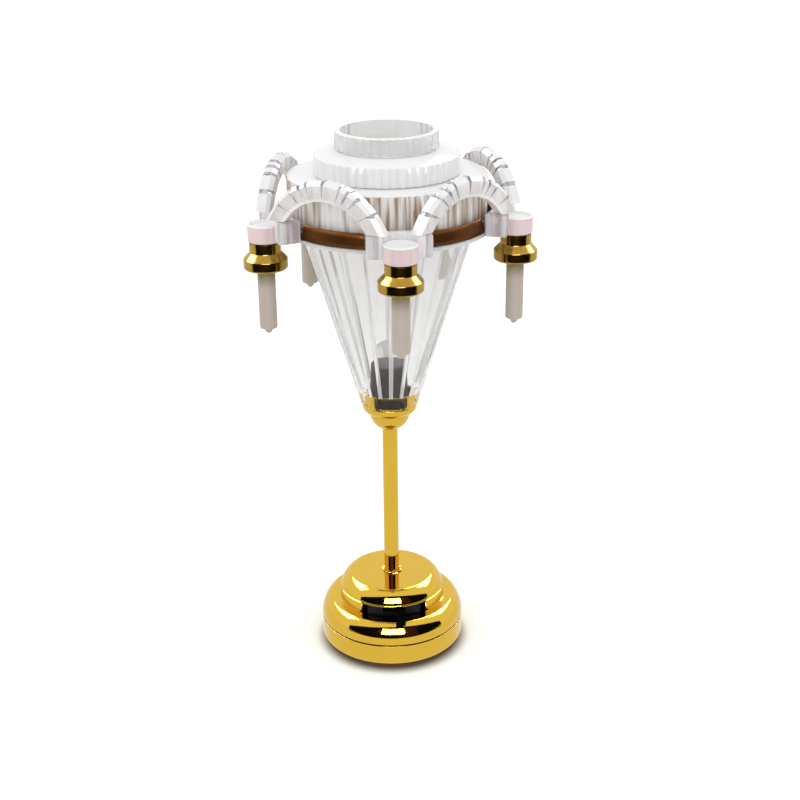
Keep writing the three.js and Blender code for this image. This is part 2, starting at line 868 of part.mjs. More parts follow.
// Arch: a faceted clear bar that springs from one bracket's block and lands on the next
function swagArch(name) {
  const centre = bracketTop - arch.centreDrop;
  const foot = arch.centreDrop + seatGap;
  const planeDistance = largeRadius + arch.ringGap + arch.depth / 2;
  const outerWidth = armReach * Math.sin(armStep / 2) - arch.endInset;
  const innerWidth = outerWidth - arch.sideThickness;
  const innerRise = arch.rise - arch.topThickness;
  const startAngle = (rise) => Math.asin(foot / rise);
  const positions = [];
  const indices = [];
  const half = arch.depth / 2;
  const flat = half - arch.bevel;
  const bevelShare = arch.bevel / arch.topThickness;
  const section = [
    [half, 0],
    [half, 1 - bevelShare],
    [flat, 1],
    [-flat, 1],
    [-half, 1 - bevelShare],
    [-half, 0],
  ];
  const stations = arch.facets + 1;
  const place = (width, rise, step) => {
    const start = startAngle(rise);
    const angle = start + ((Math.PI - 2 * start) * step) / arch.facets;
    return [width * Math.cos(angle), rise * Math.sin(angle)];
  };
  for (let step = 0; step < stations; step += 1) {
    const [innerX, innerZ] = place(innerWidth, innerRise, step);
    const [outerX, outerZ] = place(outerWidth, arch.rise, step);
    for (const [across, outward] of section) {
      const x = innerX + (outerX - innerX) * outward;
      const z = innerZ + (outerZ - innerZ) * outward;
      positions.push(x, -planeDistance + across, centre + z);
    }
  }
  const size = section.length;
  for (let step = 0; step < arch.facets; step += 1) {
    for (let corner = 0; corner < size; corner += 1) {
      const next = (corner + 1) % size;
      const [a, b] = [step * size + corner, step * size + next];
      const [c, d] = [a + size, b + size];
      indices.push(a, c, b, d, b, c);
    }
  }
  const last = arch.facets * size;
  for (let corner = 1; corner < size - 1; corner += 1) {
    indices.push(0, corner, corner + 1);
    indices.push(last, last + corner + 1, last + corner);
  }
  const geometry = new THREE.BufferGeometry();
  geometry.setAttribute("position", new THREE.Float32BufferAttribute(positions, 3));
  geometry.setIndex(indices);
  return mesh(name, geometry, "crystal");
}

// Assembly
const chandelier = new THREE.Group();
chandelier.add(
  ceilingPlate(),
  canopyShell(),
  coinCell(),
  batteryTray(),
  negativeContact(),
  positiveContact(),
  switchHousing(),
  switchLever(),
  switchWiper(),
  switchTerminal("switch_terminal_left", -terminal.spacing),
  switchTerminal("switch_terminal_middle", 0),
  switchTerminal("switch_terminal_right", terminal.spacing),
  switchWire(),
  positiveLampWire(),
  negativeLampWire(),
  stemTube(),
  stemBead(),
  stemCupShell(),
  coneSeat(),
  lampHolder(),
  lampLens(),
  lampLeg("lamp_leg_positive", 1),
  lampLeg("lamp_leg_negative", -1),
  crystalCone(),
  crownLargeRing(),
  crownMiddleRing(),
  crownSmallRing(),
  crownBand(),
);
for (let index = 0; index < arms.count; index += 1) {
  const number = index + 1;
  const arm = [
    candleBracket(`candle_bracket_${number}`),
    goldCup(`candle_cup_${number}`),
    whiteCandle(`candle_${number}`),
  ];
  chandelier.add(turnedGroup(armTurn(index), arm));
  chandelier.add(turnedGroup(armTurn(index) + armStep / 2, [swagArch(`swag_arch_${number}`)]));
}

export default chandelier;
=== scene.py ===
"""A battery chandelier for a dolls house, stored upside down on its ceiling canopy. Metres, +Z up."""

import bmesh
import bpy
import numpy as np
from mathutils import Matrix


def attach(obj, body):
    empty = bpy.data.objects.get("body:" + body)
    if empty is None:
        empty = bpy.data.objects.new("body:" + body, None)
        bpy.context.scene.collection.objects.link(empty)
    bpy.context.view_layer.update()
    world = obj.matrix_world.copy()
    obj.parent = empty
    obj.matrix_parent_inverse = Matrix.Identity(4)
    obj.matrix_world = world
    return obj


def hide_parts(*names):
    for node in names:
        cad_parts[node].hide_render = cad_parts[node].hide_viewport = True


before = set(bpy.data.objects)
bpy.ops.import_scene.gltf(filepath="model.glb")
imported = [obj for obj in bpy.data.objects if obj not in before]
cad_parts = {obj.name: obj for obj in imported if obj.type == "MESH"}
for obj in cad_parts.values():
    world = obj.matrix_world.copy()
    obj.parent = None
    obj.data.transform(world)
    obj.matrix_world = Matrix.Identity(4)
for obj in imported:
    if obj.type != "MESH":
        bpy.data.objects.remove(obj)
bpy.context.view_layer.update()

# Camera: it stands about 20 cm in front of the stem, a little to its left, and looks down by 22 degrees.
# Its place and lens come from a fit to the photograph's circles and edges.
camera = bpy.data.objects.new("camera", bpy.data.cameras.new("camera"))
bpy.context.scene.collection.objects.link(camera)
camera.data.sensor_width = 36
camera.data.lens = 61.48
camera.data.clip_start = 0.01
turn, tilt, roll = np.radians([-2.8, 67.59, -0.512])
camera.matrix_world = (
    Matrix.Translation((-0.00838, -0.20579, 0.12769))
    @ Matrix.Rotation(turn, 4, "Z")
    @ Matrix.Rotation(tilt, 4, "X")
    @ Matrix.Rotation(roll, 4, "Z")
)
bpy.context.scene.camera = camera
bpy.context.scene.view_settings.view_transform = "Standard"


# Room: a white table top in a white tent, with soft light from all round. The tent is open at the front, and
# the dark room there, with one bright window and a brown door, is what the gold mirrors as black bands.
class Wire:
    """A value in a material. Sums and products of wires add Math nodes, and node() adds any other node."""

    def __init__(self, tree, socket=None):
        self.tree = tree
        self.socket = socket

    def node(self, kind, settings=None, inputs=None, output=0):
        """Adds a node of that type, makes its settings, then fills its sockets with values or wires."""
        made = self.tree.nodes.new(kind)
        for name, value in (settings or {}).items():
            setattr(made, name, value)
        for name, value in (inputs or {}).items():
            if isinstance(value, Wire):
                self.tree.links.new(value.socket, made.inputs[name])
            else:
                made.inputs[name].default_value = value
        return Wire(self.tree, made.outputs[output] if made.outputs else None)

    def math(self, operation, *values):
        """A Math node on these values."""
        return self.node("ShaderNodeMath", {"operation": operation}, dict(enumerate(values)))

    def __add__(self, other):
        return self.math("ADD", self, other)

    def __mul__(self, other):
        return self.math("MULTIPLY", self, other)

    __radd__ = __add__
    __rmul__ = __mul__

    def between(self, low, high):
        """The colour that lies this far from the low colour to the high one."""
        sides = {0: self}
        for socket, colour in ((6, low), (7, high)):
            sides[socket] = colour if isinstance(colour, Wire) else (*colour, 1)
        return self.node("ShaderNodeMix", {"data_type": "RGBA"}, sides, output=2)

    def noise(self, scale, detail=2):
        """Cloudy noise on these coordinates, from 0 to 1."""
        sockets = {"Vector": self, "Scale": scale, "Detail": detail}
        return self.node("ShaderNodeTexNoise", inputs=sockets)

    def bump(self, height, strength, distance):
        """The surface's normal, tilted as if it rose and fell with the height."""
        sockets = {"Height": height, "Strength": strength, "Distance": distance}
        return self.node("ShaderNodeBump", inputs=sockets)


def finish(name, recipe):
    """A material whose shader is what the recipe makes from the piece's own coordinates."""
    material = bpy.data.materials.new(name)
    material.use_nodes = True
    material.node_tree.nodes.clear()
    place = Wire(material.node_tree).node("ShaderNodeTexCoord", output="Object")
    place.node("ShaderNodeOutputMaterial", inputs={"Surface": recipe(place)})
    return material


def light_path(wire, *names):
    """Outputs of the Light Path node, which tells where the ray that meets a surface has come from."""
    path = wire.node("ShaderNodeLightPath").socket.node
    return [Wire(wire.tree, path.outputs[name]) for name in names]


room = bpy.data.worlds.new("white tent")
bpy.context.scene.world = room
room.use_nodes = True
room.node_tree.nodes.clear()
tent = Wire(room.node_tree)
tent_light = tent.node("ShaderNodeBackground", inputs={"Color": (1, 1, 1, 1), "Strength": 1.0})
tent.node("ShaderNodeOutputWorld", inputs={"Surface": tent_light})


def table_top(place):
    """White paint, with a glow that fills the shadows a little, but not the narrow one that hugs the front of
    the part's foot, where the paint is darkened as well into a painted contact shadow. In the gold's mirror
    it is plain white."""
    camera_ray, mirrored, clear = light_path(place, "Is Camera Ray", "Is Glossy Ray", "Is Transmission Ray")
    shifted = place.node("ShaderNodeVectorMath", {"operation": "ADD"}, {0: place, 1: (0, 0.002, 0)})
    reach = shifted.node("ShaderNodeVectorMath", {"operation": "LENGTH"}, {0: shifted}, output="Value")
    fade = {"interpolation_type": "SMOOTHSTEP"}
    # Painted shadow: towards the front of the foot the paint darkens to brown and the glow goes out.
    clear_of_painted_shadow = reach.node("ShaderNodeMapRange", fade, {0: reach, 1: 0.0106, 2: 0.0136})
    paint = clear_of_painted_shadow.between((0.13, 0.085, 0.055), (0.97, 0.968, 0.965))
    sockets = {"Color": clear_of_painted_shadow.between((0, 0, 0), (0.20, 0.215, 0.18)), "Strength": camera_ray + clear}
    glow = place.node("ShaderNodeEmission", inputs=sockets)
    painted = place.node("ShaderNodeBsdfDiffuse", inputs={"Color": paint})
    seen = place.node("ShaderNodeAddShader", inputs={0: painted, 1: glow})
    plain = place.node("ShaderNodeEmission", inputs={"Color": (0.93, 0.93, 0.92, 1)})
    return place.node("ShaderNodeMixShader", inputs={0: mirrored, 1: seen, 2: plain})


def glowing(colour, again, through, inside):
    """A recipe for a plain light. It shows a second colour in a mirror's mirror, a third one straight through
    clear plastic, and a fourth one where the plastic or the gold behind it mirrors it."""

    def recipe(place):
        depth, bounces, clear = light_path(place, "Ray Depth", "Glossy Depth", "Is Transmission Ray")
        mirrored = depth.math("GREATER_THAN", depth, 1.5).between(colour, again)
        beyond = bounces.math("GREATER_THAN", bounces, 0.5).between(through, inside)
        return place.node("ShaderNodeEmission", inputs={"Color": clear.between(mirrored, beyond)})

    return recipe


def quads(number):
    """The faces of a grid, from the numbers of its points."""
    return np.stack([number[:-1, :-1], number[:-1, 1:], number[1:, 1:], number[1:, :-1]], -1)


def stage_sheet(name, grid, material, only_mirrored=True):
    """Adds a sheet of the room, given its grid of points in metres. Most sheets are seen only in the gold's
    mirror and through the clear plastic."""
    rows, columns = grid.shape[:2]
    faces = quads(np.arange(rows * columns).reshape(rows, columns)).reshape(-1, 4)
    mesh = bpy.data.meshes.new(name)
    mesh.from_pydata(grid.reshape(-1, 3).tolist(), [], faces.tolist())
    mesh.materials.append(material)
    sheet = bpy.data.objects.new(name, mesh)
    bpy.context.scene.collection.objects.link(sheet)
    if only_mirrored:
        sheet.visible_camera = False
        sheet.visible_diffuse = False
        sheet.visible_shadow = False


floor_side = np.array([-3.0, 3.0])
floor_grid = np.stack([*np.meshgrid(floor_side, floor_side), np.zeros((2, 2))], -1)
stage_sheet("table", floor_grid, finish("white table", table_top), only_mirrored=False)


def screen(name, turns, heights, distance, *colours, taper=0):
    """A curved sheet round the part, between two turns from the front and two heights, all in degrees. With a
    taper it grows lower towards its sides."""
    share = np.linspace(-1, 1, 24)
    turn, height = np.meshgrid(np.radians(np.linspace(*turns, 24)), np.radians(np.linspace(*heights, 12)))
    height = height * (1 - taper * share**2)
    across = distance * np.cos(height)
    grid = np.stack([across * np.sin(turn), -across * np.cos(turn), 0.02 + distance * np.sin(height)], -1)
    stage_sheet(name, grid, finish(name, glowing(*colours)))


dark = (0.006, 0.005, 0.007)
white = (1, 1, 1)
glare = (14, 14, 15)
dusk = (0.92, 0.91, 0.92)
shade = (0.16, 0.14, 0.16)
screen("dark_room", (-74, 80), (-3, 47.5), 0.60, dark, dark, dusk, shade, taper=0.75)
screen("bright_window", (-19, 17), (12, 35), 0.58, glare, (0.16, 0.09, 0.04), white, white)
screen("brown_door", (15, 38), (-2, 34), 0.59, (0.04, 0.015, 0.006), dark, (0.7, 0.6, 0.5), (0.5, 0.35, 0.22))
screen("left_soft_box", (-152, -88), (32, 56), 0.58, glare, white, white, white)
screen("right_soft_box", (98, 168), (32, 56), 0.58, glare, white, white, white)

# The white table ends some 97 mm in front of the stem, which only the gold's mirror bands show.
edge_turn, edge_reach = np.meshgrid(np.radians(np.linspace(-71, 77, 40)), np.array([0.097, 0.60]))
edge_height = np.full_like(edge_turn, 2e-4)
edge_grid = np.stack([edge_reach * np.sin(edge_turn), -edge_reach * np.cos(edge_turn), edge_height], -1)
stage_sheet("table_edge", edge_grid, finish("dark floor", glowing(dark, dark, white, dark)))


# Ceiling plate: the shallow brass cup that is stuck to the ceiling. It is spun, polished and gold plated, and
# the canopy is pressed over its rim.
def polished_gold(place):
    """Mirror-bright plating, a little cloudier in patches, with the fine orange peel of a casting."""
    clouds = place.noise(260, detail=3)
    peel = place.noise(5200, detail=1)
    colour = clouds.between((0.72, 0.455, 0.048), (0.80, 0.525, 0.070))
    sockets = {
        "Base Color": peel.between(colour, (0.73, 0.46, 0.050)),
        "Metallic": 1.0,
        "Roughness": 0.03 + 0.05 * clouds,
        "Normal": place.bump(peel, 0.05, 0.00002),
    }
    return place.node("ShaderNodeBsdfPrincipled", inputs=sockets)


def eased(corners, radii, steps=5):
    """A closed outline with its corners rounded off. Each corner is left one radius before it and met again
    one radius after it, by the curve that is start (1-t)^2 + corner 2t(1-t) + end t^2. A point just outside
    each end of the curve keeps the straight flanks flat in the light."""
    corners = np.asarray(corners, float)
    reach = np.broadcast_to(np.asarray(radii, float), len(corners))[:, None]
    back = np.roll(corners, 1, 0) - corners
    onward = np.roll(corners, -1, 0) - corners
    back = back / np.linalg.norm(back, axis=1, keepdims=True) * reach
    onward = onward / np.linalg.norm(onward, axis=1, keepdims=True) * reach
    t = np.linspace(0, 1, steps)[None, :, None]
    centre = corners[:, None]
    curves = centre + back[:, None] * (1 - t) ** 2 + onward[:, None] * t**2
    flanks = [centre + 1.2 * back[:, None], curves, centre + 1.2 * onward[:, None]]
    return np.concatenate(flanks, 1).reshape(-1, 2)


def turned(profile, segments=180):
    """A profile of radius and height carried once round the Z axis, from the front towards +X."""
    angle = np.linspace(0, 2 * np.pi, segments, endpoint=False)
    radius, height = np.asarray(profile, float).T[:, :, None]
    return np.stack([radius * np.sin(angle), -radius * np.cos(angle), height + 0 * angle], -1)


def piece(name, grids, material, body, nodes, sharp=32, paint=None, others=()):
    """A closed solid from grids of points in millimetres. Each point is joined to the next in its row and in
    its column, the last column to the first, and the last row to the first unless that is one point. Paint
    gives each grid's material number, or each of its faces': 0, or more for the other materials."""
    vertices = np.concatenate([grid.reshape(-1, 3) for grid in grids]) / 1000
    faces = []
    coats = []
    first = 0
    for grid, coat in zip(grids, paint or [0] * len(grids)):
        rows, columns = grid.shape[:2]
        number = first + np.arange(rows * columns).reshape(rows, columns)
        first += rows * columns
        if np.ptp(grid[0], axis=0).max() > 1e-6:
            number = np.vstack([number, number[:1]])
        grid_faces = quads(np.hstack([number, number[:, :1]]))
        faces.append(grid_faces.reshape(-1, 4))
        coats.append(np.broadcast_to(coat, grid_faces.shape[:2]).ravel())
    mesh = bpy.data.meshes.new(name)
    mesh.from_pydata(vertices.tolist(), [], np.concatenate(faces).tolist())
    mesh.polygons.foreach_set("material_index", np.concatenate(coats).astype(np.int32))
    work = bmesh.new()
    work.from_mesh(mesh)
    bmesh.ops.remove_doubles(work, verts=work.verts, dist=1e-7)
    bmesh.ops.recalc_face_normals(work, faces=work.faces)
    work.to_mesh(mesh)
    work.free()
    mesh.shade_smooth()
    mesh.set_sharp_from_angle(angle=np.radians(sharp))
    for coating in (material, *others):
        mesh.materials.append(coating)
    made = bpy.data.objects.new(name, mesh)
    bpy.context.scene.collection.objects.link(made)
    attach(made, body)
    if nodes:
        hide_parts(*nodes)
    return made


gold = finish("polished gold", polished_gold)
plate_profile = eased(
    [
        (0, 0),
        (11.75, 0),
        (12, 0.25),
        (12, 3.4),
        (11.25, 3.4),
        (11.25, 3.85),
        (11.25, 4.9),
        (10.65, 4.9),
        (10.65, 0.8),
        (0, 0.8),
    ],
    [0, 0.1, 0.1, 0.03, 0.05, 0.05, 0.1, 0.1, 0.1, 0],
)


def joint_brown(place):
    """Dark brown in the joint under the canopy, lighter and rougher in patches."""
    mottle = place.noise(900, detail=3)
    sockets = {
        "Base Color": mottle.between((0.008, 0.006, 0.004), (0.022, 0.014, 0.008)),
        "Roughness": 0.6 + 0.3 * mottle,
        "Specular IOR Level": 0.2,
    }
    return place.node("ShaderNodeBsdfPrincipled", inputs=sockets)


darkening = finish("joint tarnish", joint_brown)

# Every corner of the profile has seven points. The joint lies between the fourth corner's last point and the
# sixth corner's first one.
corner_points = 7
plate_step = np.arange(len(plate_profile) - 1)
in_joint = (plate_step >= 4 * corner_points - 1) & (plate_step < 5 * corner_points)
piece(
    "plate",
    [turned(plate_profile, 240)],
    gold,
    "ceiling_plate",
    ["ceiling_plate"],
    paint=[in_joint.astype(int)[:, None]],
    others=[darkening],
)


# Canopy: the two-tier cover, spun from thin brass, polished and gold plated. A window is cut in the upper
# tier's wall for the switch, and the stem goes through the middle of its flat top.
def quarter(centre, run, rise, start, end, steps=14, power=2):
    """Part of an oval about a centre of radius and height, between two angles in degrees. The power is 2 for
    an ellipse, and nearer 1 for flatter flanks."""
    angle = np.radians(np.linspace(start, end, steps))
    across = np.sign(np.cos(angle)) * np.abs(np.cos(angle)) ** (2 / power)
    up = np.sign(np.sin(angle)) * np.abs(np.sin(angle)) ** (2 / power)
    return np.stack([centre[0] + run * across, centre[1] + rise * up], -1)


window_half = 5.5
wall_radius = 8.85
window_turn = np.arcsin(window_half / wall_radius)
window_columns = 40
outer_skin = np.concatenate(
    [
        [(12, 3.68), (12, 3.85), (12, 4.1)],
        quarter((10.35, 4.25), 1.65, 2.85, 2, 90, 30, 1.57),
        [(9.7, 7.1), (8.95, 7.1)],
        [(8.87, 7.12), (wall_radius, 7.2)],
        [(wall_radius, 8.93), (8.83, 8.99), (8.74, 9.02)],
        [(8.66, 9.1)],
        quarter((6.87, 8.71), 1.864, 2.64, 15.5, 90, 30, 1.58),
        [(6.6, 11.35), (2.0, 11.35), (1.5, 11.35), (1.4, 11.3)],
    ]
)
canopy_turns = np.concatenate(
    [
        np.linspace(-window_turn, window_turn, window_columns + 1),
        np.linspace(window_turn, 2 * np.pi - window_turn, 200)[1:-1],
    ]
)


def shell(name, grid, holes, wall, material, node, sharp):
    """A thin sheet that goes once round the axis, in millimetres, without the faces that lie in its holes.
    The sheet's thickness is added on the inside."""
    rows, columns = grid.shape[:2]
    number = np.arange(rows * columns).reshape(rows, columns)
    faces = quads(np.hstack([number, number[:, :1]]))[~holes]
    mesh = bpy.data.meshes.new(name)
    mesh.from_pydata((grid.reshape(-1, 3) / 1000).tolist(), [], faces.tolist())
    mesh.shade_smooth()
    mesh.set_sharp_from_angle(angle=np.radians(sharp))
    mesh.materials.append(material)
    made = bpy.data.objects.new(name, mesh)
    bpy.context.scene.collection.objects.link(made)
    thickness = made.modifiers.new("sheet thickness", "SOLIDIFY")
    thickness.thickness = wall / 1000
    thickness.offset = -1
    thickness.use_even_offset = True
    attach(made, "chandelier")
    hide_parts(node)


skin_radius, skin_height = outer_skin.T[:, :, None]
skin_x = skin_radius * np.sin(canopy_turns)
skin_y = -skin_radius * np.cos(canopy_turns)
skin = np.stack([skin_x, skin_y, skin_height + 0 * canopy_turns], -1)
row_height = (skin_height[:-1] + skin_height[1:]) / 2
row_radius = (skin_radius[:-1] + skin_radius[1:]) / 2
in_wall = (row_height > 7.1) & (row_height < 9.01) & (row_radius < 8.9)
in_window = in_wall & (np.arange(len(canopy_turns)) < window_columns)
shell("canopy", skin, in_window, 0.6, gold, "canopy_shell", 50)


# Slide switch: a moulded black body behind the canopy's window, with a lever that sticks out over the ledge.
def switch_black(low, high, shine):
    """A recipe for black moulded plastic with a fine grain and slightly worn, greyer patches."""

    def recipe(place):
        grain = place.noise(3800, detail=3)
        worn = place.noise(420, detail=2)
        sockets = {
            "Base Color": worn.between(low, high),
            "Roughness": 0.4 + 0.2 * grain,
            "Specular IOR Level": shine,
            "Normal": place.bump(grain, 0.25, 0.00003),
        }
        return place.node("ShaderNodeBsdfPrincipled", inputs=sockets)

    return recipe


def dress(recipe_name, recipe, *nodes):
    """Gives the frame's own meshes of these nodes a material."""
    material = finish(recipe_name, recipe)
    for node in nodes:
        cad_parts[node].data.materials.clear()
        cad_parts[node].data.materials.append(material)


body_black = switch_black((0.010, 0.010, 0.016), (0.015, 0.015, 0.023), 0.15)
lever_black = switch_black((0.002, 0.002, 0.003), (0.004, 0.004, 0.005), 0.0)
dress("switch black", body_black, "switch_housing", "battery_tray")
dress("lever black", lever_black, "switch_lever")


# Cell and contacts, inside the canopy: nickel-plated steel, drawn or bent from sheet. The lamp's two legs are
# plated in the same way.
def nickel(place):
    """Nickel plating with a fine brushed grain and a few duller, yellower patches."""
    grain = place.noise(6000, detail=2)
    patches = place.noise(240, detail=3)
    sockets = {
        "Base Color": patches.between((0.55, 0.53, 0.48), (0.68, 0.67, 0.64)),
        "Metallic": 1.0,
        "Roughness": 0.2 + 0.2 * grain,
        "Normal": place.bump(grain, 0.15, 0.00002),
    }
    return place.node("ShaderNodeBsdfPrincipled", inputs=sockets)


nickel_nodes = ("coin_cell", "negative_contact", "positive_contact", "lamp_leg_positive", "lamp_leg_negative")
dress("nickel plate", nickel, *nickel_nodes)


# Switch metal: the wiper and the three terminals, stamped from copper strip and thinly tinned.
def tinned_copper(place):
    """Copper strip that shows through a thin coat of tin in places."""
    worn = place.noise(1500, detail=3)
    sockets = {
        "Base Color": worn.between((0.60, 0.30, 0.17), (0.66, 0.58, 0.50)),
        "Metallic": 1.0,
        "Roughness": 0.25 + 0.2 * worn,
        "Normal": place.bump(worn, 0.2, 0.00002),
    }
    return place.node("ShaderNodeBsdfPrincipled", inputs=sockets)


terminals = [f"switch_terminal_{side}" for side in ("left", "middle", "right")]
dress("tinned copper", tinned_copper, "switch_wiper", *terminals)


# Wires: thin PVC insulation, red for the two positive ones and black for the negative one. They run from the
# cell and the switch up the stem to the lamp.
def insulation(low, high):
    """A recipe for soft PVC with a slight sheen and scuffs."""

    def recipe(place):
        scuffs = place.noise(1800, detail=3)
        sockets = {
            "Base Color": scuffs.between(low, high),
            "Roughness": 0.35 + 0.25 * scuffs,
            "Normal": place.bump(scuffs, 0.1, 0.00003),
        }
        return place.node("ShaderNodeBsdfPrincipled", inputs=sockets)

    return recipe


dress("red wire", insulation((0.33, 0.008, 0.008), (0.45, 0.02, 0.016)), "battery_wire", "lamp_wire_positive")
dress("black wire", insulation((0.012, 0.012, 0.013), (0.03, 0.03, 0.032)), "lamp_wire_negative")


# Stem: a thin drawn brass tube, gold plated, brazed into the canopy. The braze is left as a small uneven
# bead round the tube's foot.
stem_profile = eased([(0.85, 9.95), (1.25, 9.95), (1.25, 38.4), (0.85, 38.4)], 0.08)
piece("stem", [turned(stem_profile, 96)], gold, "chandelier", ["stem_tube"])

bead_turn = np.linspace(0, 2 * np.pi, 160, endpoint=False)
bead_swell = (
    0.42
    + 0.30 * np.sin(bead_turn - 0.5)
    + 0.22 * np.sin(3 * bead_turn + 1.1)
    + 0.16 * np.sin(7 * bead_turn - 0.8)
    + 0.10 * np.sin(13 * bead_turn)
)
bead_swell = 0.75 * np.clip(bead_swell, 0.06, 0.75)
bead_foot = 11.36
bead_angle = np.radians(np.linspace(0, 180, 15))[:, None]
bead_ripple = 1 + 0.25 * np.sin(5 * bead_turn + 4 * bead_angle)
bead_radius = 1.25 + bead_swell * (0.5 + 0.5 * np.cos(bead_angle)) * bead_ripple
bead_height = bead_foot + 0.55 * bead_swell * np.sin(bead_angle) ** 0.8 * bead_ripple
bead_top = np.stack([bead_radius * np.sin(bead_turn), -bead_radius * np.cos(bead_turn), bead_height], -1)
bead_inside = np.stack([1.2 * np.sin(bead_turn), -1.2 * np.cos(bead_turn), bead_foot + 0 * bead_turn], -1)
bead_grid = np.concatenate([bead_top, bead_inside[None]])
piece("braze", [bead_grid], gold, "chandelier", ["stem_bead"], sharp=60)

# Stem cup: a half-round spun cup soldered on the stem's end, gold plated.
cup_centre = 41.0
cup_outside = 3.32
cup_inside = 2.82
outer_start = -np.degrees(np.arccos(1.4 / cup_outside))
inner_start = -np.degrees(np.arccos(1.4 / cup_inside))
stem_cup_profile = np.concatenate(
    [
        quarter((0, cup_centre), cup_outside, cup_outside, outer_start, -1, 24),
        [(3.3, cup_centre), (2.84, cup_centre)],
        quarter((0, cup_centre), cup_inside, cup_inside, -1, inner_start, 20),
    ]
)
piece("stem_cup_shell", [turned(stem_cup_profile, 120)], gold, "chandelier", ["stem_cup"])

# Cone seat: a turned gold cap that the crystal cone stands on. Its wall goes up inside the cone's mouth and
# touches the acrylic, so that the cone shows gold over its whole width there. It holds the lamp.
seat_corners = [
    (1.05, 40.88),
    (3.35, 40.88),
    (4.0, 41.15),
    (4.42, 41.7),
    (4.5, 42.5),
    (3.95, 42.52),
    (3.95, 44.6),
    (3.6, 44.6),
    (3.15, 41.75),
    (1.05, 41.75),
]
seat_profile = eased(seat_corners, [0.05, 0.2, 0.3, 0.2, 0.08, 0.03, 0.06, 0.06, 0.2, 0.05])
piece("lamp_seat", [turned(seat_profile, 120)], gold, "chandelier", ["cone_seat"])


# Lamp: a clear 5 mm diode in a dark sleeve, standing on two legs in the seat.
def sleeve_brown(place):
    """Dark brown shrink sleeve with creases."""
    crease = place.noise(900, detail=2)
    sockets = {
        "Base Color": crease.between((0.016, 0.008, 0.004), (0.05, 0.030, 0.016)),
        "Specular IOR Level": 0.15,
        "Roughness": 0.35 + 0.2 * crease,
        "Normal": place.bump(crease, 0.4, 0.0001),
    }
    return place.node("ShaderNodeBsdfPrincipled", inputs=sockets)


sleeve_profile = eased([(2.65, 41.9), (3.0, 41.9), (3.0, 49.3), (2.65, 49.3)], 0.08)
sleeve = finish("sleeve brown", sleeve_brown)
piece("lamp_sleeve", [turned(sleeve_profile, 96)], sleeve, "chandelier", ["lamp_holder"])


def lamp_epoxy(place):
    """Faintly lilac clear epoxy, with a soft haze of moulding marks."""
    haze = place.noise(700, detail=2)
    sockets = {
        "Base Color": haze.between((0.93, 0.89, 0.93), (0.995, 0.98, 0.99)),
        "Roughness": 0.08 + 0.12 * haze,
        "Transmission Weight": 0.8,
        "IOR": 1.08,
    }
    return place.node("ShaderNodeBsdfPrincipled", inputs=sockets)


lens_foot = [(0, 44.7), (2.4, 44.7), (2.5, 44.8)]
lens_profile = np.concatenate([lens_foot, quarter((0, 50.7), 2.5, 2.5, 0, 90, 20)])
lens_profile[-1, 0] = 0
epoxy = finish("lamp epoxy", lamp_epoxy)
piece("lamp_dome", [turned(lens_profile, 96)], epoxy, "chandelier", ["lamp_lens"])


# Crystal cone: moulded clear acrylic with twenty long flat reeds between V grooves, open at both ends. It
# stands on the gold seat, and its flange carries the band and the crown. The grooves come out less clear.
def clear_plastic(milk, index, low, high):
    """A recipe for moulded plastic, clear but for a share of milkiness, with streaks along the axis between
    the
    low and the high colour: flow marks, and in the large ring and the arch marks painted reflections.
    """

    def recipe(place):
        drawn_out = place.node("ShaderNodeMapping", inputs={"Vector": place, "Scale": (1, 1, 0.06)})
        flow = drawn_out.noise(1100, detail=2)
        streaks = flow.node("ShaderNodeMapRange", inputs={0: flow, 1: 0.36, 2: 0.56})
        fine = place.noise(2600, detail=1)
        sockets = {
            "Base Color": streaks.between(low, high),
            "Roughness": 0.01 + 0.03 * flow,
            "Transmission Weight": 1 - milk,
            "IOR": index,
            "Normal": place.bump(fine, 0.04, 0.00002),
        }
        return place.node("ShaderNodeBsdfPrincipled", inputs=sockets)

    return recipe


def misted(place):
    """Clear at the foot, where the lamp shows through it, and hazier towards the wide end."""
    height = place.node("ShaderNodeSeparateXYZ", inputs={0: place}, output="Z")
    mist = height.node("ShaderNodeMapRange", inputs={0: height, 1: 0.049, 2: 0.062, 3: 0.01, 4: 0.14})
    clear = clear_plastic(0.02, 1.2, (0.975, 0.97, 0.965), (1, 0.998, 0.995))(place)
    hazy = clear_plastic(0.95, 1.3, (0.95, 0.95, 0.945), (0.998, 0.996, 0.994))(place)
    return place.node("ShaderNodeMixShader", inputs={0: mist, 1: clear, 2: hazy})


cone_acrylic = finish("cone acrylic", misted)
cone_groove = finish("cone groove", clear_plastic(0.55, 1.2, (0.94, 0.93, 0.92), (0.998, 0.995, 0.99)))


def fluted(profile, flutes, steps, shape):
    """A ring like a turned one, cut in by its flutes. A profile point is radius, height and flute depth, and
    the depth is taken off in proportion to the shape, a function of the way across one flute."""
    way = np.arange(flutes * steps) / steps
    angle = 2 * np.pi * way / flutes
    radius, height, depth = np.asarray(profile, float).T[:, :, None]
    cut = radius - depth * shape(way % 1)
    return np.stack([cut * np.sin(angle), -cut * np.cos(angle), height + 0 * angle], -1)


def bore_at(height):
    """The cone's inside radius, which grows evenly with the height."""
    return 3.484 + 0.302 * (height - 41.2)


cone_steps = np.linspace(0, 1, 60)[:, None]
cone_outside = np.array([[4.6, 42.54, 0.28]]) + cone_steps * np.array([[8.936, 29.46, 0.29]])
flange_under = [(13.9, 72.0, 0.1), (16.1, 72.0, 0), (16.156, 72.06, 0)]
flange_over = [(16.156, 72.54, 0), (16.1, 72.6, 0), (13.2, 72.6, 0)]
bore_heights = np.linspace(72.6, 46.2, 60)
cone_inside = np.stack([bore_at(bore_heights), bore_heights, np.zeros(60)], -1)
cone_socket = [(4.5, 45.0, 0), (3.94, 44.7, 0), (3.94, 42.54, 0)]
cone_profile = np.concatenate([cone_outside, flange_under, flange_over, cone_inside, cone_socket])


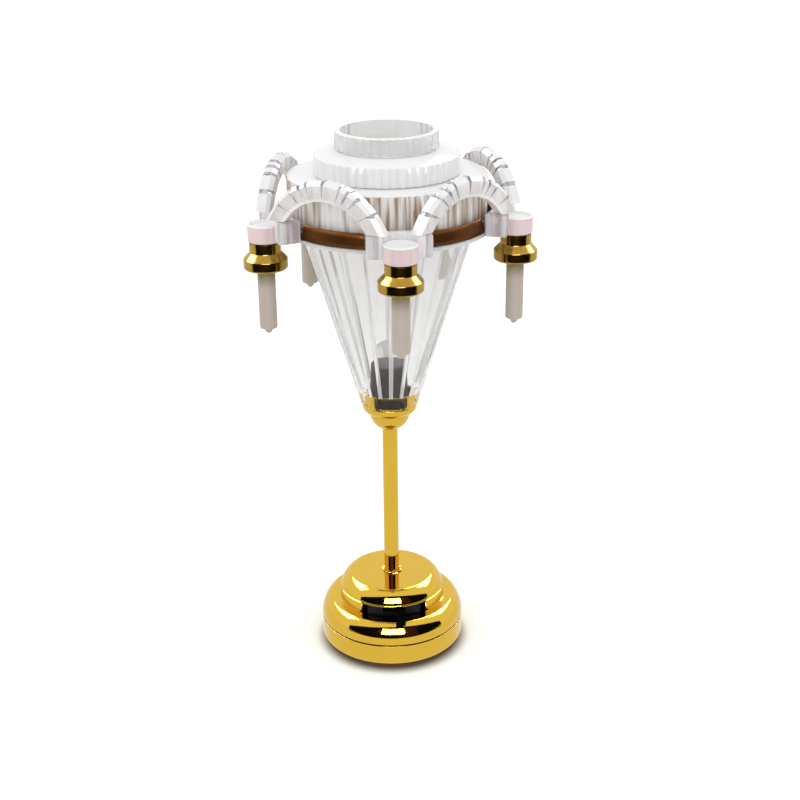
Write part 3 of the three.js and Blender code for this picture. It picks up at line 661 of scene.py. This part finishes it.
def reeded(profile, reeds, groove):
    """A ring with flat, faintly rounded reeds between V grooves. A profile point is radius, height and depth
    of the groove, and groove is the share of a reed that half a groove takes up at each profile point."""
    share = np.arange(9) / 8
    half = groove[:, None]
    way = np.hstack([0 * half, half + (1 - 2 * half) * share])
    cut = np.append(1, 0.1 * (2 * share - 1) ** 2)
    radius, height, depth = np.asarray(profile, float).T[:, :, None]
    angle = 2 * np.pi / reeds * (way[:, None, :] + np.arange(reeds)[:, None]).reshape(len(profile), -1)
    reach = radius - depth * np.tile(cut, reeds)
    return np.stack([reach * np.sin(angle), -reach * np.cos(angle), height + 0 * angle], -1)


# A reed is ten columns of points, and its first and last faces are the groove's two sides. They are painted
# as such above the seat, and so is the whole flange.
reed_count = 20
groove_share = np.interp(cone_profile[:, 1], [42.5, 50, 72], [0.19, 0.16, 0.035])
profile_step = np.arange(len(cone_profile))
above_seat = (profile_step > 4) & (profile_step < len(cone_outside) - 1)
in_groove = above_seat[:, None] & np.isin(np.arange(10 * reed_count) % 10, (0, 9))[None, :]
in_groove[len(cone_outside) - 1 : len(cone_outside) + 6] = True
piece(
    "cone",
    [reeded(cone_profile, reed_count, groove_share)],
    cone_acrylic,
    "chandelier",
    ["crystal_cone"],
    paint=[in_groove.astype(int)],
    others=[cone_groove],
)


# Crown: three clear rings with fine V flutes, stacked in steps on the cone's flange.
def vee(way):
    """A sharp V valley between two crests: the distance from the crest."""
    return np.abs(2 * way - 1)


large_profile = [
    (15.366, 72.75, 0.3),
    (15.366, 80.2, 0.3),
    (15.26, 80.35, 0.24),
    (10.33, 80.35, 0),
    (10.33, 79.65, 0),
    (14.466, 79.65, 0),
    (14.466, 72.75, 0),
]
middle_profile = [
    (11.226, 80.5, 0.3),
    (11.226, 83.3, 0.3),
    (11.1, 83.46, 0.22),
    (9.6, 83.86, 0.08),
    (7.976, 84.17, 0),
    (7.08, 84.17, 0),
    (7.08, 83.47, 0),
    (10.326, 82.72, 0),
    (10.326, 80.5, 0),
]
small_profile = [
    (7.976, 84.32, 0.3),
    (7.976, 86.86, 0.3),
    (7.86, 87.0, 0.22),
    (7.076, 87.0, 0),
    (7.076, 84.32, 0),
]
# The large ring's dark brown streaks are a painted reflection of the band behind it.
band_reflection_streaks = finish("streaked acrylic", clear_plastic(0.85, 1.3, (0.42, 0.28, 0.17), (0.998, 0.985, 0.965)))
frosted = finish("tier acrylic", clear_plastic(0.9, 1.3, (0.93, 0.905, 0.895), (0.998, 0.996, 0.994)))
# Painted light: the rings' ledges and the discs' tops take this milkier, whiter copy of the acrylic.
lit_top_acrylic = finish("ledge acrylic", clear_plastic(0.97, 1.2, (0.995, 0.994, 0.993), (0.999, 0.998, 0.998)))
clearer = finish("top acrylic", clear_plastic(0.45, 1.15, (0.97, 0.96, 0.955), (1, 0.998, 0.996)))
for size_name, profile, flutes, acrylic, ledge_rows in (
    ("large", large_profile, 72, band_reflection_streaks, (1, 2)),
    ("middle", middle_profile, 54, frosted, (1, 2, 3, 4)),
    ("small", small_profile, 36, clearer, (1, 2)),
):
    on_ledge = np.isin(np.arange(len(profile)), ledge_rows).astype(int)[:, None]
    piece(
        f"{size_name}_ring",
        [fluted(profile, flutes, 6, vee)],
        acrylic,
        "chandelier",
        [f"crown_ring_{size_name}"],
        paint=[on_ledge],
        others=[lit_top_acrylic],
    )


# Band: a hoop of thin dark brass round the crown's foot, with a slot at each arm for the bracket's tab.
def band_brass(place):
    """Dark brass sheet with a brushed grain and browner, duller patches."""
    patches = place.noise(300, detail=3)
    grain = place.noise(4200, detail=2)
    sockets = {
        "Base Color": patches.between((0.12, 0.044, 0.012), (0.18, 0.068, 0.017)),
        "Metallic": 1.0,
        "Roughness": 0.38 + 0.14 * grain,
        "Normal": place.bump(grain, 0.2, 0.00002),
    }
    return place.node("ShaderNodeBsdfPrincipled", inputs=sockets)


arm_turns = np.radians(2.8 + 72 * np.arange(5))
hoop_radius = 16.306
hoop_turn = np.linspace(0, 2 * np.pi, 720, endpoint=False)
from_arm = np.abs((hoop_turn[:, None] - arm_turns + np.pi) % (2 * np.pi) - np.pi).min(1) * 16.3
notch = np.clip((5.5 - from_arm) / 0.7, 0, 1)
hoop_top = 75.1 - 0.6 * (1 - np.sqrt(1 - notch**2))
hoop_rows = np.stack([0 * hoop_turn + height for height in (72.75, 73.5, 74.3)] + [hoop_top])
hoop_x = hoop_radius * np.sin(hoop_turn) + 0 * hoop_rows
hoop_y = -hoop_radius * np.cos(hoop_turn) + 0 * hoop_rows
in_slot = (np.arange(3) == 1)[:, None] & (from_arm < 4.5)[None, :]
hoop_grid = np.stack([hoop_x, hoop_y, hoop_rows], -1)
shell("hoop", hoop_grid, in_slot, 0.35, finish("band brass", band_brass), "crown_band", 40)


# Arms: five clear brackets round the band. Each has a block against the band and a disc in front of it,
# moulded in one, and is glued on with a tab in the band's slot.
def about_axis(grid, turn):
    """The grid turned about the Z axis."""
    cosine, sine = np.cos(turn), np.sin(turn)
    return grid @ np.array([[cosine, sine, 0], [-sine, cosine, 0], [0, 0, 1]])


def bar(stations, section):
    """A grid for a bar: the section, a function of the station that gives its outline, at each station, and a
    point in the middle of each end."""
    rows = np.array([section(station) for station in stations])
    ends = [np.broadcast_to(row.mean(0), row.shape)[None] for row in (rows[0], rows[-1])]
    return np.concatenate([ends[0], rows, ends[1]])


arm_reach = 19.996
band_face = 16.456
disc_face = 2.56


def block_section(across):
    """The block's outline at one distance to the side: it follows the band behind and the disc in front."""
    behind = np.sqrt(band_face**2 - across**2)
    front = arm_reach - np.sqrt(max(disc_face**2 - across**2, 0.74**2))
    corners = [(-behind, 72.25), (-behind, 75.75), (-front, 75.75), (-front, 72.25)]
    outline = eased(corners, 0.3, 4)
    drawn_in = 0.55 * (1 - np.sqrt(1 - np.clip((abs(across) - 4.25) / 0.56, 0, 1) ** 2))
    outline = outline + np.clip(outline.mean(0) - outline, -drawn_in, drawn_in)
    return np.column_stack([np.full(len(outline), across), outline])


rounding = 4.24 + 0.56 * np.sin(np.radians(np.arange(15, 91, 15)))
outer_steps = np.concatenate([np.linspace(2.45, 4.25, 4), rounding])
side_steps = np.concatenate([-outer_steps[::-1], np.linspace(-2.4, 2.4, 31), outer_steps])
block_grid = bar(side_steps, block_section)
tab_outline = np.array([(-16.5, 73.65), (-16.5, 74.05), (-15.7, 74.05), (-15.7, 73.65)])
tab_steps = np.linspace(-3.05, 3.05, 5)
tab_grid = bar(tab_steps, lambda across: np.column_stack([np.full(4, across), tab_outline]))
disc_profile = eased(
    [(0, 72.05), (2.53, 72.05), (2.53, 74.7), (2.1, 74.7), (1.85, 74.35), (0, 74.35)],
    [0, 0.18, 0.15, 0.06, 0.1, 0],
)
disc_grid = turned(disc_profile, 72) + (0, -arm_reach, 0)
block_acrylic = finish("bracket acrylic", clear_plastic(0.85, 1.3, (0.90, 0.84, 0.87), (0.995, 0.985, 0.988)))
disc_acrylic = finish("disc acrylic", clear_plastic(0.8, 1.3, (0.88, 0.68, 0.70), (0.95, 0.77, 0.78)))
end_acrylic = finish("bracket end", clear_plastic(0.6, 1.25, (0.62, 0.52, 0.54), (0.998, 0.985, 0.99)))

# The disc is pink up to its third corner and white from there on, where its top takes the painted light of
# the ledges' whiter copy. The block's ends are clearer.
disc_step = np.arange(len(disc_profile) - 1)
disc_paint = np.where(disc_step < 2 * corner_points, 1, 2)[:, None]
block_paint = np.where(np.abs(np.concatenate([[-9], side_steps])) > 3.4, 3, 0)[:, None]
for number, turn in enumerate(arm_turns, 1):
    grids = [about_axis(grid, turn) for grid in (disc_grid, block_grid, tab_grid)]
    piece(
        f"bracket_{number}",
        grids,
        block_acrylic,
        "chandelier",
        [f"candle_bracket_{number}"],
        paint=[disc_paint, block_paint, 0],
        others=[disc_acrylic, lit_top_acrylic, end_acrylic],
    )

# Swag arches: faceted clear bars from bracket to bracket, cut-glass fashion. Each has eight flat facets, nine
# marks cut across them like wedges, and polished bevels along both edges. The marks are tinted slate blue, a
# painted dark reflection.
arch_distance = 17.056
arch_centre = 70.27
arch_section = np.array(
    [(0.7, 0), (1.1, 0.16), (1.1, 0.8), (0.55, 1), (-0.55, 1), (-1.1, 0.8), (-1.1, 0.16), (-0.7, 0)]
)


def arch_point(way, outward):
    """A point in the arch's plane: on an ellipse, at a facet's corner, and straight between two corners. The
    outward share goes from the inner ellipse to the outer one."""
    station = np.clip(np.floor(way), 0, 7)
    share = way - station
    ends = []
    for width, rise in ((8.633, 9.42), (11.353, 12.4)):
        start = np.arcsin(5.63 / rise)
        angle = start + (np.pi - 2 * start) * np.stack([station, station + 1]) / 8
        across = width * np.cos(angle)
        up = rise * np.sin(angle)
        ends.append(((1 - share) * across[0] + share * across[1], (1 - share) * up[0] + share * up[1]))
    (inner_x, inner_z), (outer_x, outer_z) = ends
    return inner_x + (outer_x - inner_x) * outward, inner_z + (outer_z - inner_z) * outward


marks = np.array([1, 2, 2.55, 3, 4, 5, 5.45, 6, 7])
stations = [(way, 0, 0) for way in range(9) if np.abs(marks - way).min() > 0.01]
stations += [(way, side, side == 0) for way in marks for side in (-1, 0, 1)]
stations.sort(key=lambda station: station[0] + 0.1 * station[1])
arch_rows = []
arch_paint = []
depth_across, outward = arch_section.T
border_or_facet = np.array([1, 0, 1, 1, 1, 0, 1, 0])
for place_along, side, cut in stations:
    way = place_along + side * 0.11 * outward
    across = depth_across * (1 - 0.2 * cut * outward)
    x, z = arch_point(way, outward * (1 - 0.03 * cut))
    arch_rows.append(np.stack([x, -arch_distance - across, arch_centre + z], -1))
    arch_paint.append(np.where(cut or side < 0, 2, border_or_facet))
arch_grid = bar(arch_rows, lambda row: row)
arch_paint = np.array([border_or_facet, *arch_paint])
facet = finish("arch facet", clear_plastic(0.65, 1.3, (0.86, 0.81, 0.78), (0.985, 0.955, 0.93)))
border = finish("arch border", clear_plastic(0.85, 1.3, (0.97, 0.97, 0.975), (0.995, 0.995, 0.995)))
# Painted reflection: the marks' slate blue stands for the dark room mirrored inside the cuts.
painted_dark_mark = finish("arch mark", clear_plastic(0.4, 1.33, (0.30, 0.33, 0.46), (0.90, 0.90, 0.95)))
for number, turn in enumerate(arm_turns + np.radians(36), 1):
    piece(
        f"swag_{number}",
        [about_axis(arch_grid, turn)],
        facet,
        "chandelier",
        [f"swag_arch_{number}"],
        sharp=12,
        paint=[arch_paint],
        others=[border, painted_dark_mark],
    )

# Candle cups: small turned brass cups, gold plated, pressed under each bracket's disc.
cup_profile = eased(
    [
        (0, 69.6),
        (1.5, 69.6),
        (1.5, 68.75),
        (2.5, 68.75),
        (2.5, 67.75),
        (3.1, 67.75),
        (3.35, 68.0),
        (3.35, 69.35),
        (2.38, 70.4),
        (2.38, 71.9),
        (0, 71.9),
    ],
    [0, 0.05, 0.05, 0.05, 0.08, 0.1, 0.1, 0.06, 0.06, 0.01, 0],
)


def turned_gold(place):
    """Plating over turned brass, duller than the canopy's, browner in patches, with fine lathe rings."""
    patches = place.noise(700, detail=3)
    flattened = place.node("ShaderNodeMapping", inputs={"Vector": place, "Scale": (0.05, 0.05, 1)})
    rings = flattened.noise(9000, detail=2)
    sockets = {
        "Base Color": patches.between((0.36, 0.21, 0.036), (0.54, 0.34, 0.062)),
        "Metallic": 1.0,
        "Roughness": 0.12 + 0.12 * rings,
        "Normal": place.bump(rings, 0.15, 0.00003),
    }
    return place.node("ShaderNodeBsdfPrincipled", inputs=sockets)


cup_gold = finish("turned gold", turned_gold)
for number, turn in enumerate(arm_turns, 1):
    grid = about_axis(turned(cup_profile, 120) + (0, -arm_reach, 0), turn)
    piece(f"gold_cup_{number}", [grid], cup_gold, "chandelier", [f"candle_cup_{number}"])


# Candles: milky white moulded plastic, pushed into the cups, with a flame nub at the end. Their colour is
# painted darker than that white, as painted shade.
def candle_plastic(place):
    """Milky plastic, warmer and darker in slow clouds. It is painted darker than its white all over, as
    shade, and olive where it enters the cup, a painted reflection of the gold cup in its shade.
    """
    clouds = place.noise(350, detail=3)
    skin = place.noise(3000, detail=2)
    height = place.node("ShaderNodeSeparateXYZ", inputs={0: place}, output="Z")
    painted_cup_reflection = height.node("ShaderNodeMapRange", inputs={0: height, 1: 0.0648, 2: 0.067})
    # Painted shade: the milky colour is set far below its white.
    milk = clouds.between((0.465, 0.39, 0.325), (0.54, 0.465, 0.40))
    sockets = {
        "Base Color": painted_cup_reflection.between(milk, (0.24, 0.19, 0.075)),
        "Roughness": 0.45 + 0.15 * skin,
        "Normal": place.bump(skin, 0.1, 0.00004),
    }
    return place.node("ShaderNodeBsdfPrincipled", inputs=sockets)


candle_white = finish("candle plastic", candle_plastic)
candle_profile = [
    (0, 57.45),
    (0.22, 57.48),
    (0.4, 57.6),
    (0.55, 57.85),
    (0.68, 58.12),
    (0.85, 58.3),
    (1.0, 58.33),
    (1.12, 58.3),
    (1.25, 58.36),
    (1.33, 58.5),
    (1.35, 58.7),
    (1.35, 69.5),
    (0, 69.5),
]
for number, turn in enumerate(arm_turns, 1):
    grid = about_axis(turned(candle_profile, 64) + (0, -arm_reach, 0), turn)
    piece(f"wax_{number}", [grid], candle_white, "chandelier", [f"candle_{number}"])
